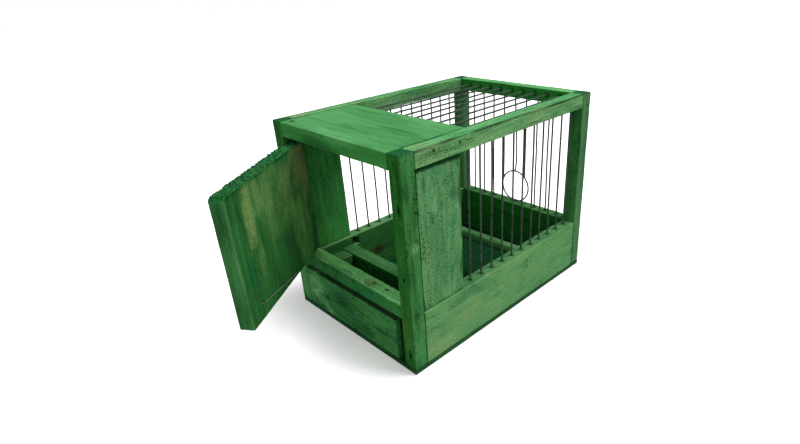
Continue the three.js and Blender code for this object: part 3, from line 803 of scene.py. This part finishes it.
def make_ends():
    stain = ("x", ROOF_X[0], ROOF_X[1] - ROOF_X[0], "y", GRILLE_Y, UP)
    board(
        "rear_bottom_rail", "inside", "x", 61,
        holes=bored([(x, GRILLE_Y) for x in REAR_X], SKIRT_TOP - 7 * MM, SKIRT_TOP + 2 * MM),
        pores=0.4, blotch=0.4, bare=0.1, wires=stain,
    )
    roof_stain = ("x", ROOF_X[0], ROOF_X[1] - ROOF_X[0], "z", ROOF_Z, TO_DOOR)
    board(
        "rear_top_rail", "top_rail", "x", 62,
        holes=bored([(x, GRILLE_Y) for x in ROOF_X], RAIL_BOTTOM - 2 * MM, RAIL_BOTTOM + 3.6 * MM),
        pores=0.4, blotch=0.3, bare=0.2, wires=roof_stain,
    )
    low, high = box("roof_board")
    top = Vector((DOOR_PIVOT.x, DOOR_PIVOT.y, high.z))
    head_hole = (top - at(0, 0, 1.2), top + at(0, 0, 2), 2.7 * MM)
    pin_hole = (Vector((DOOR_PIVOT.x, DOOR_PIVOT.y, low.z - 2 * MM)), top + at(0, 0, 1), 1.6 * MM)
    board(
        "roof_board", "roof", "x", 63, rough=0.15 * MM, holes=[head_hole, pin_hole],
        pores=0.12, blotch=0.2, bare=0.25, streak=0.45, rub=0.5,
        seams=[seam(0, 75.6, 1.0, 0.8), seam(0, -75.6, 1.0, 0.6)],
        spots=[
            (top, 5 * MM, 1.0, srgb(*DEEP), 0.5),
            spot(-10, -126, 200, 9, 7.0, (112, 186, 120), 0.5),
            spot(0, -100, 200, 7, 6.0, (60, 138, 76), 0.6),
            spot(30, -84, 200, 5, 7.0, (58, 134, 74), 0.5),
            spot(-30, -70, 200, 6, 6.0, (66, 142, 80), 0.4),
            spot(-20, -130, 191, 8, 4.0, DEEP, 0.5),
        ],
    )
    board(
        "sill_rail", "sill", "x", 64, pitch=1.6 * MM, rough=0.25 * MM, chips=0.6,
        radii=[0.8 * MM, 0.8 * MM, 0.9 * MM, 6.6 * MM],
        dents=[
            dent(6, -122, 66, 2.0, 0.9), dent(29, -121, 66, 2.6, 1.1),
            dent(47, -120, 66, 2.0, 0.9), dent(58, -127, 65.5, 2.4, 1.0),
        ],
        pores=0.7, blotch=0.75, bare=0.8, rub=0.3, streak=0.2,
        spots=[
            spot(24, -121, 66, 8, 1.6, (150, 190, 120), 0.85),
            spot(-52, -129, 62, 10, 1.6, (70, 150, 80), 0.6),
            spot(-60, -130, 57, 8, 2.0, DEEP, 0.5),
            spot(-5, -127, 66, 9, 2.0, (58, 124, 84), 0.5),
            spot(30, -130, 58, 12, 2.4, TEAL, 0.35),
            spot(29, -120, 66, 2.2, 1.6, DEEP, 0.9),
            spot(6, -122, 66, 1.8, 1.6, DEEP, 0.9),
            spot(47, -120, 66, 1.8, 1.6, DEEP, 0.9),
        ],
    )


def make_feeder():
    board("feeder_ledge", "inside", "x", 70, pores=0.4, bare=0.3)
    board("feeder_block_right", "inside", "y", 71, radii=[0.8 * MM, 0.8 * MM, 0.8 * MM, 4 * MM])
    board("feeder_block_left", "inside", "y", 72, radii=[0.8 * MM, 4 * MM, 0.8 * MM, 0.8 * MM])
    board("feeder_partition", "inside", "x", 73)


def make_base():
    board("base_board", "base", "y", 80, ease=0.5 * MM, pitch=4 * MM, chips=0.15, bare=0.0, rub=0.1)


def make_drawer():
    board(
        "drawer_front", "drawer", "x", 90, "drawer", chips=0.4, rough=0.2 * MM,
        pores=1.0, blotch=0.9, bare=0.9, rub=0.5, streak=0.4,
        spots=[
            spot(-60, -130, 27, 20, 1.3, (124, 196, 126), 0.9),
            spot(-42, -130, 12, 10, 2.4, (112, 182, 114), 0.7),
            spot(-40, -130, 24, 7, 1.6, DEEP, 0.8),
            spot(-14, -130, 30, 18, 1.4, DEEP, 0.6),
            spot(20, -130, 14, 10, 1.6, DEEP, 0.4), spot(4, -130, 16, 12, 1.5, TEAL, 0.4),
            spot(46, -130, 26, 9, 1.2, TEAL, 0.4), spot(-50, -130, 9, 4, 3.0, DEEP, 0.8),
            spot(12, -130, 30, 5, 0.5, (84, 158, 90), 0.6),
            spot(24, -130, 28, 4, 0.4, (84, 158, 90), 0.5),
            spot(40, -130, 12, 5, 0.5, (74, 150, 84), 0.5),
            spot(54, -130, 30, 6, 1.0, DEEP, 0.4),
            spot(66.5, -128, 26, 7, 1.0, TEAL, 0.8),
        ],
    )
    for seed, node in enumerate(("drawer_floor", "drawer_back", "drawer_side_left", "drawer_side_right")):
        board(node, "inside", "y" if "side" in node else "x", 91 + seed, "drawer", chips=0.4)


def make_perch():
    """A round dowel, a little uneven, with its ends against the two bottom rails."""
    low, high = box("perch")
    radius = (high.z - low.z) / 2
    centre = (low + high) / 2
    half_x = (high.x - low.x) / 2
    lean = (high.y - low.y) / 2 - radius
    start = Vector((-half_x, centre.y + lean, centre.z))
    end = Vector((half_x, centre.y - lean, centre.z))
    right_end = [v.co.y for v in frame["nodes"]["perch"].data.vertices if v.co.x > half_x - 2 * MM]
    if sum(right_end) / len(right_end) > centre.y:
        start.y, end.y = end.y, start.y
    material = stained_wood("wood_perch", "perch", "x", 99, pores=0.3, blotch=0.2, bare=0.7)
    steps = 40
    path = [start.lerp(end, i / steps) for i in range(steps + 1)]
    radii = [radius * (0.985 - 0.02 * abs(wave(9, 1, p.x, 40))) for p in path]
    radii[0] = radii[-1] = radius * 0.93
    vertices, faces = [], []
    tube(vertices, faces, path, radii, sides=32)
    perch = new_object("perch_dowel", vertices, faces, material, "cage")
    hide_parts("perch")
    finish_shading(perch)


# Wires and nails.


def make_wires():
    dark = steel("wire_dark", srgb(76, 92, 80), roughness=0.5, metallic=0.35)
    rows = [
        ("right", RIGHT_WIRES, [(GRILLE_X, y) for y in WIRE_Y], 1),
        ("left", [None] * len(LEFT_WIRE_Y), [(-GRILLE_X, y) for y in LEFT_WIRE_Y], 31),
        ("rear", REAR_WIRES, [(x, GRILLE_Y) for x in REAR_X], 61),
    ]
    for hand, nodes, places, seed in rows:
        for i, (node, place) in enumerate(zip(nodes, places)):
            low, high = box(node or RIGHT_WIRES[0])
            path = hand_drawn((*place, low.z), (*place, high.z), seed + i)
            wire_piece(f"wire_{hand}_{i + 1}", path, dark, "cage", node)
    for i, node in enumerate(ROOF_WIRES):
        low, high = box(node)
        start = (ROOF_X[i], low.y, low.z + WIRE_RADIUS)
        end = (ROOF_X[i], high.y, high.z - WIRE_RADIUS)
        wire_piece(f"wire_roof_{i + 1}", hand_drawn(start, end, i + 81), dark, "cage", node)
    make_ring(dark)


def closed_ring(vertices, faces, centre, radius, steps=72, sides=12):
    """Adds a welded ring of wire, standing across the cage, to a mesh's lists."""
    for s in range(steps):
        angle = 2 * math.pi * s / steps
        out = Vector((math.cos(angle), 0, math.sin(angle)))
        for k in range(sides):
            turn = 2 * math.pi * k / sides
            offset = out * math.cos(turn) + Vector((0, 1, 0)) * math.sin(turn)
            vertices.append(centre + out * radius + offset * WIRE_RADIUS)
    for s in range(steps):
        for k in range(sides):
            t, m = (s + 1) % steps, (k + 1) % sides
            faces.append((s * sides + k, s * sides + m, t * sides + m, t * sides + k))


def make_ring(material):
    """The ring for a drinking glass, on two straight hangers and a bent one."""
    low, high = box("drinker_ring")
    radius = (high.x - low.x) / 2 - WIRE_RADIUS
    centre = Vector(((low.x + high.x) / 2, GRILLE_Y, low.z + WIRE_RADIUS + radius))
    vertices, faces = [], []
    closed_ring(vertices, faces, centre, radius)
    pitch = ROOF_X[1] - ROOF_X[0]

    def on_ring(x):
        return Vector((x, GRILLE_Y, centre.z + math.sqrt(radius**2 - (x - centre.x) ** 2)))

    paths = [hand_drawn(on_ring(x), (x, GRILLE_Y, high.z), 95 + i) for i, x in enumerate((-pitch, pitch))]
    foot = on_ring(1.6 * MM)
    elbow = Vector((6 * MM, GRILLE_Y, foot.z + 12 * MM))
    top = Vector((0, GRILLE_Y, RAIL_BOTTOM))
    bent = [foot * (1 - t) ** 2 + elbow * 2 * t * (1 - t) + top * t**2 for t in (i / 24 for i in range(25))]
    for path in [*paths, [*bent, Vector((0, GRILLE_Y, high.z))]]:
        tube(vertices, faces, path, [WIRE_RADIUS] * len(path))
    ring = new_object("ring_for_glass", vertices, faces, material, "cage")
    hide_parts("drinker_ring")


NAIL_PLACES = [
    # place in millimetres, outward direction
    ((90, -95.6, 195.7), "x"), ((90, -66.4, 194.8), "x"), ((90, 124.4, 187.9), "x"), ((90, 126.1, 177), "x"),
    ((90, -117.8, 151.8), "x"), ((90, -123, 60.7), "x"), ((90, 28.8, 47.4), "x"), ((90, 29.2, 40.4), "x"),
    ((84, -130, 155.8), "-y"), ((84, -130, 94.9), "-y"), ((84, -130, 18), "-y"),
    ((-90, -95, 195), "-x"), ((-90, -66, 194.5), "-x"), ((-90, 124, 188), "-x"), ((-90, -122, 60), "-x"),
    ((-84, 130, 193), "y"), ((84, 130, 192), "y"), ((-83, 130, 30), "y"), ((83, 130, 31), "y"),
]
DIRECTIONS = {"x": Vector((1, 0, 0)), "-x": Vector((-1, 0, 0)), "y": Vector((0, 1, 0)), "-y": Vector((0, -1, 0))}
NAIL_PROFILE = [(-2.0, 1.0), (-0.12, 1.0), (-0.04, 0.8), (-0.02, 0.35)]  # height over the face, share of the radius


def make_nails():
    """Small nail heads, driven a little below the face, each in its dark dent."""
    material = steel("nail_dark", srgb(8, 18, 10), roughness=0.85, metallic=0.0, specular=0.05)
    rng = random.Random(5)
    vertices, faces = [], []
    for place, direction in NAIL_PLACES:
        centre = Vector(place) * MM
        tilt = Vector((rng.uniform(-1, 1), rng.uniform(-1, 1), rng.uniform(-1, 1))) * 0.03
        axis = (DIRECTIONS[direction] + tilt).normalized()
        radius = rng.uniform(0.95, 1.25) * MM
        path = [centre + axis * height * MM for height, _ in NAIL_PROFILE]
        tube(vertices, faces, path, [radius * share for _, share in NAIL_PROFILE], sides=14)
    nails = new_object("nail_heads", vertices, faces, material, "cage")
    finish_shading(nails)


def make_hinge_nails():
    material = steel("hinge_nail_steel", srgb(60, 70, 62), roughness=0.5, metallic=0.6)
    for node in ("door_pin_top", "door_pin_bottom"):
        nail = frame["nodes"][node]
        nail.data.materials.clear()
        nail.data.materials.append(material)


# Door.

DOOR_HALF = 6.3 * MM
DOOR_LENGTH = 140.9 * MM
DOOR_CORNERS = (5.5 * MM, 3.0 * MM)  # radii of the free edge's upper and lower corner
FRINGE_HEIGHT = 1.5 * MM
FIBRES = 1300
FIBRE_FACES = [(0, 1, 3), (1, 2, 3), (2, 0, 3), (0, 2, 1)]
DOOR_WIRE_ENDS = ((120.9, 82.0), (52.9, 71.5))  # along the door and above the floor, in millimetres


def door_place():
    return Matrix.Translation((DOOR_PIVOT.x, DOOR_PIVOT.y, 0)) @ Matrix.Rotation(-DOOR_OPEN, 4, "Z")


def make_door():
    """The door, built shut at its own origin on the hinge line, then turned open."""
    low, high = box("door")
    z0, z1 = low.z, high.z - 0.15 * MM
    place = door_place()
    local_low, local_high = Vector((-DOOR_HALF, -DOOR_HALF, z0)), Vector((DOOR_LENGTH, DOOR_HALF, z1))
    material = stained_wood(
        "wood_door", "door", "z", 7, (local_low, local_high),
        pores=0.45, blotch=0.3, bare=0.2, streak=0.6, rub=0.5, torn=0.9, spots=door_spots(),
        seams=[(2, z1, 3.6 * MM, 0.9, (0.3, 0.72, 0.5))],
    )
    door = worn_board(
        "board_door", local_low, local_high, "z", material, None, None, 7, rough=0.16 * MM,
        radii=[DOOR_HALF * 0.995, 1.2 * MM, 1.4 * MM, DOOR_HALF * 0.995], wear=0.15, pitch=2.0 * MM, chips=0.3,
    )
    round_corners(door, z0, z1)
    cut_kerf(door)
    door.matrix_world = place
    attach(door, "door")
    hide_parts("door")
    make_fringe(z1, z1 + FRINGE_HEIGHT, place)
    make_door_wire(place)


def door_spots():
    """Stain on the inner face, along its free edge and on the free edge's own face, in the shut door's frame. The
    light spots near the hinge are painted light, which lifts the shade that the roof and the cage cast there.
    """
    inner, free = DOOR_HALF / MM, DOOR_LENGTH / MM
    rows = [  # along the door, above the floor, radius, stretch, colour, strength
        (114, 154, 11, 3.4, (128, 164, 94), 0.9), (98, 170, 9, 3.0, (104, 146, 80), 0.7),
        (80, 160, 24, 1.8, (104, 146, 82), 0.75), (108, 118, 8, 3.6, (92, 136, 72), 0.5),
        # The light spots at -2, 14 and 24 along the door, near the hinge, are painted light over the shade that
        # falls there.
        (14, 160, 30, 1.7, (128, 144, 88), 0.95), (44, 152, 20, 2.2, (100, 130, 72), 0.75),
        (24, 116, 34, 1.8, (94, 158, 78), 0.95), (52, 106, 9, 2.6, (26, 84, 48), 0.5),
        (33, 100, 6, 2.4, (30, 92, 48), 0.4), (132, 150, 5, 6.0, (58, 136, 74), 0.75),
        (130, 110, 6, 4.0, (24, 112, 56), 0.6), None, (122, 100, 6, 5.0, (28, 98, 54), 0.6),
        (90, 92, 16, 1.8, (34, 96, 44), 0.6), (-2, 130, 4, 14.0, (110, 140, 84), 0.7),
    ]
    arris_line = spot(free - 0.4, inner - 0.4, 125, 2.0, 400.0, (76, 138, 80), 0.55)
    spots = [spot(row[0], inner, *row[1:]) if row else arris_line for row in rows]
    return spots + [
        spot(free, 0, 164, 13, 2.2, (34, 84, 38), 0.7), spot(free, 0, 90, 10, 2.5, (36, 98, 50), 0.5),
    ]


def on_face(end, depth=0.0):
    """A point of the thin wire's line, this deep in the door's inner face."""
    along, up = end
    return Vector((along * MM, DOOR_HALF - depth, up * MM))


def cut_kerf(door):
    """The fine slot in the inner face that the thin wire lies in, and the hole at its upper end."""
    start, end = (on_face(e) for e in DOOR_WIRE_ENDS)
    run = (end - start).normalized()
    across = run.cross(Vector((0, 1, 0))).normalized() * 0.5 * MM
    vertices = []
    for foot in (start, end + run * MM):
        for depth in (0.8 * MM, -MM):
            for sign in (-1, 1):
                vertices.append(foot + across * sign - Vector((0, depth, 0)))
    subtract(door, vertices, BOX_FACES)
    bore(door, [(start - Vector((0, 5 * MM, 0)), start + Vector((0, MM, 0)), 1.5 * MM)])
    finish_shading(door)


def make_door_wire(place):
    """The thin bright wire, bent into its hole at one end and lying in the slot for the rest."""
    start, end = DOOR_WIRE_ENDS
    path = [on_face(start, 4.5 * MM), on_face(start, 2.0 * MM), on_face(start, 0.9 * MM)]
    run = on_face(end) - on_face(start)
    for i in range(1, 13):
        share = 0.012 + 0.988 * i / 12
        depth = 0.30 * MM + 0.06 * MM * math.sin(9 * share)
        path.append(on_face(start) + run * share - Vector((0, depth, 0)))
    bright = steel("door_wire_steel", srgb(196, 204, 188), roughness=0.28, metallic=0.6)
    wire = wire_piece("thin_wire", path, bright, None, None, radius=0.42 * MM)
    wire.matrix_world = place
    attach(wire, "door")
    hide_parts("door_wire")


def make_fringe(base, top, place):
    """Torn fibres lying and standing on the sawn top edge, standing higher on the outer side."""
    rng = random.Random(41)
    vertices, faces = [], []
    corner_radius = DOOR_CORNERS[0]
    for _ in range(FIBRES):
        x = rng.uniform(-4.0, 137.5) * MM
        y = rng.uniform(-6.0, 6.0) * MM
        length = rng.uniform(1.2, 5.0) * MM * rng.choice((-1, 1))
        length = min(length, 138.5 * MM - x)
        width = rng.uniform(0.18, 0.42) * MM
        lift = rng.uniform(0.15, 1.0) ** 1.6 * (top - base) * (1.0 if y < -2 * MM else 0.55)
        turn = rng.uniform(-0.9, 0.9) * MM
        drop = 0.0
        if x > DOOR_LENGTH - corner_radius:
            drop = corner_radius - math.sqrt(corner_radius**2 - (x - DOOR_LENGTH + corner_radius) ** 2)
        foot = base - drop
        tip_y = max(-6.2 * MM, min(6.2 * MM, y + turn))
        first = len(vertices)
        vertices += [
            Vector((x, y - width, foot - 0.5 * MM)), Vector((x, y + width, foot - 0.5 * MM)),
            Vector((x, y, foot + 0.35 * lift)), Vector((x + length, tip_y, foot - 0.1 * MM + lift)),
        ]
        faces += [tuple(first + k for k in corner) for corner in FIBRE_FACES]
    fringe = new_object("torn_fibres", vertices, faces, torn_fibre(), None)
    for polygon in fringe.data.polygons:
        polygon.use_smooth = False
    fringe.matrix_world = place
    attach(fringe, "door")


def torn_fibre():
    """Saw-torn fibres that have drunk a lot of stain."""
    shader = Shader(bpy.data.materials.new("torn_fibre"))
    place = shader.coordinates()
    tuft = shader.noise(shader.vector_math("MULTIPLY", place, (0.3, 1.0, 1.0)), 800, detail=3, roughness=0.7)
    drift = shader.noise(place, 90, detail=3)
    colour = shader.mix(shader.remap(tuft, 0.42, 0.58), srgb(6, 54, 24), srgb(72, 158, 90))
    colour = shader.mix(shader.remap(drift, 0.5, 0.7, 0, 0.5), colour, srgb(16, 88, 52))
    return shader.principled(
        Base_Color=colour, Roughness=shader.remap(tuft, 0.3, 0.7, 0.6, 0.85), Specular_IOR_Level=0.15,
        Normal=shader.bump(tuft, 0.3, 0.2 * MM),
    )


def round_corners(door, z0, z1):
    """Pulls the free corners of the door in to their worn curves, and roughens the sawn top edge."""
    for vertex in door.data.vertices:
        x, z = vertex.co.x, vertex.co.z
        for edge, sign, radius in zip((z1, z0), (-1, 1), DOOR_CORNERS):
            centre_x, centre_z = DOOR_LENGTH - radius, edge + sign * radius
            if x > centre_x and (z - centre_z) * sign < 0:
                offset = Vector((x - centre_x, z - centre_z))
                if offset.length > radius:
                    offset *= radius / offset.length
                    vertex.co.x, vertex.co.z = centre_x + offset.x, centre_z + offset.y
        if vertex.co.z > z1 - 1.5 * MM:
            torn = 0.5 + 0.5 * noise.noise(Vector((x * 380, vertex.co.y * 500, 3.1)))
            nick = max(0.0, noise.noise(Vector((x * 70, 1.7, 9.4))) - 0.25) * 2.0
            vertex.co.z -= (torn * 0.3 + 0.6 * nick) * MM
        if vertex.co.z < z0 + 0.8 * MM:
            vertex.co.z += (0.5 + 0.5 * noise.noise(Vector((x * 420, vertex.co.y * 400, 5.7)))) * 0.5 * MM


# Studio.


SUNS = [  # name, direction toward it, spread in degrees, strength
    ("key", (0.32, 0.34, 0.88), 24, 0.66),
    ("side", (0.90, 0.13, 0.41), 50, 0.145),
    ("front", (0.30, -0.80, 0.52), 60, 0.20),
]
WHITE = (1, 1, 1)
FOOTPRINT = (0.09, 0.13, 0)  # half the cage's width and length


def make_camera():
    level = math.cos(CAMERA_ELEVATION)
    east, north = math.sin(CAMERA_AZIMUTH) * level, -math.cos(CAMERA_AZIMUTH) * level
    back = Vector((east, north, math.sin(CAMERA_ELEVATION)))
    right = Vector((0, 0, 1)).cross(back).normalized()
    up = back.cross(right)
    rolled_right = right * math.cos(CAMERA_ROLL) + up * math.sin(CAMERA_ROLL)
    rolled_up = up * math.cos(CAMERA_ROLL) - right * math.sin(CAMERA_ROLL)
    turn = Matrix((rolled_right, rolled_up, back)).transposed().to_4x4()
    camera = linked("camera", bpy.data.cameras.new("camera"))
    camera.matrix_world = Matrix.Translation(CAMERA_PLACE) @ turn
    camera.data.sensor_width = SENSOR
    camera.data.sensor_fit = "HORIZONTAL"
    camera.data.lens = FOCAL_PIXELS / IMAGE_WIDTH * SENSOR
    camera.data.shift_x = -PRINCIPAL_OFFSET[0] / IMAGE_WIDTH
    camera.data.shift_y = PRINCIPAL_OFFSET[1] / IMAGE_WIDTH
    camera.data.clip_start = 0.01
    bpy.context.scene.camera = camera


def sun(name, toward_light, spread, strength):
    """A broad lamp far away, as even over the floor as over the cage."""
    data = bpy.data.lights.new(name, "SUN")
    data.angle = math.radians(spread)
    data.energy = strength * math.pi
    linked(name, data).rotation_euler = Vector(toward_light).to_track_quat("Z", "Y").to_euler()


def make_world():
    """Soft light from all round, and plain white where the camera sees past the floor."""
    world = bpy.data.worlds.new("studio")
    bpy.context.scene.world = world
    shader = Shader(world, "World")
    soft = shader.new("Background", {"Color": WHITE, "Strength": 0.25})
    white = shader.new("Background", {"Color": WHITE, "Strength": 1.0})
    shader.by_camera(soft, white)


def floor_lift(shader):
    """How much the floor is brightened: little close to the cage's foot, fully 8.5 cm away. This is painted light:
    it washes out shadows farther from the cage, the door's shadow among them.
    """
    outside = shader.vector_math("ABSOLUTE", shader.coordinates())
    beyond = shader.vector_math("SUBTRACT", outside, FOOTPRINT)
    distance = shader.vector_math("LENGTH", shader.vector_math("MAXIMUM", beyond))
    return shader.remap(distance, 0.0, 0.085, 0.25, 0.85)


def make_floor():
    """A white floor that keeps the cage's shadow and is plain white elsewhere."""
    size, z = 6.0, -0.1 * MM
    corners = [(-size, -size, z), (size, -size, z), (size, size, z), (-size, size, z)]
    floor = linked("floor", new_mesh("floor", corners, [(0, 1, 2, 3)]))
    shader = Shader(bpy.data.materials.new("floor_white"))
    paint = shader.new("BsdfDiffuse", {"Color": (0.95, 0.95, 0.95)})
    lift = shader.new("Emission", {"Strength": floor_lift(shader)})
    card = shader.new("BsdfDiffuse", {"Color": (0.4, 0.4, 0.4)})
    shader.by_camera(card, shader.new("AddShader", {0: paint.outputs[0], 1: lift.outputs[0]}))
    floor.data.materials.append(shader.owner)


def make_studio():
    make_camera()
    make_world()
    make_floor()
    for name, toward_light, spread, strength in SUNS:
        sun(name, toward_light, spread, strength)
    bpy.context.scene.view_settings.view_transform = "Standard"


make_studio()
make_base()
make_posts()
make_side("right", 1)
make_side("left", -1)
make_ends()
make_feeder()
make_drawer()
make_perch()
make_wires()
make_nails()
make_hinge_nails()
make_door()

bpy.context.view_layer.update()
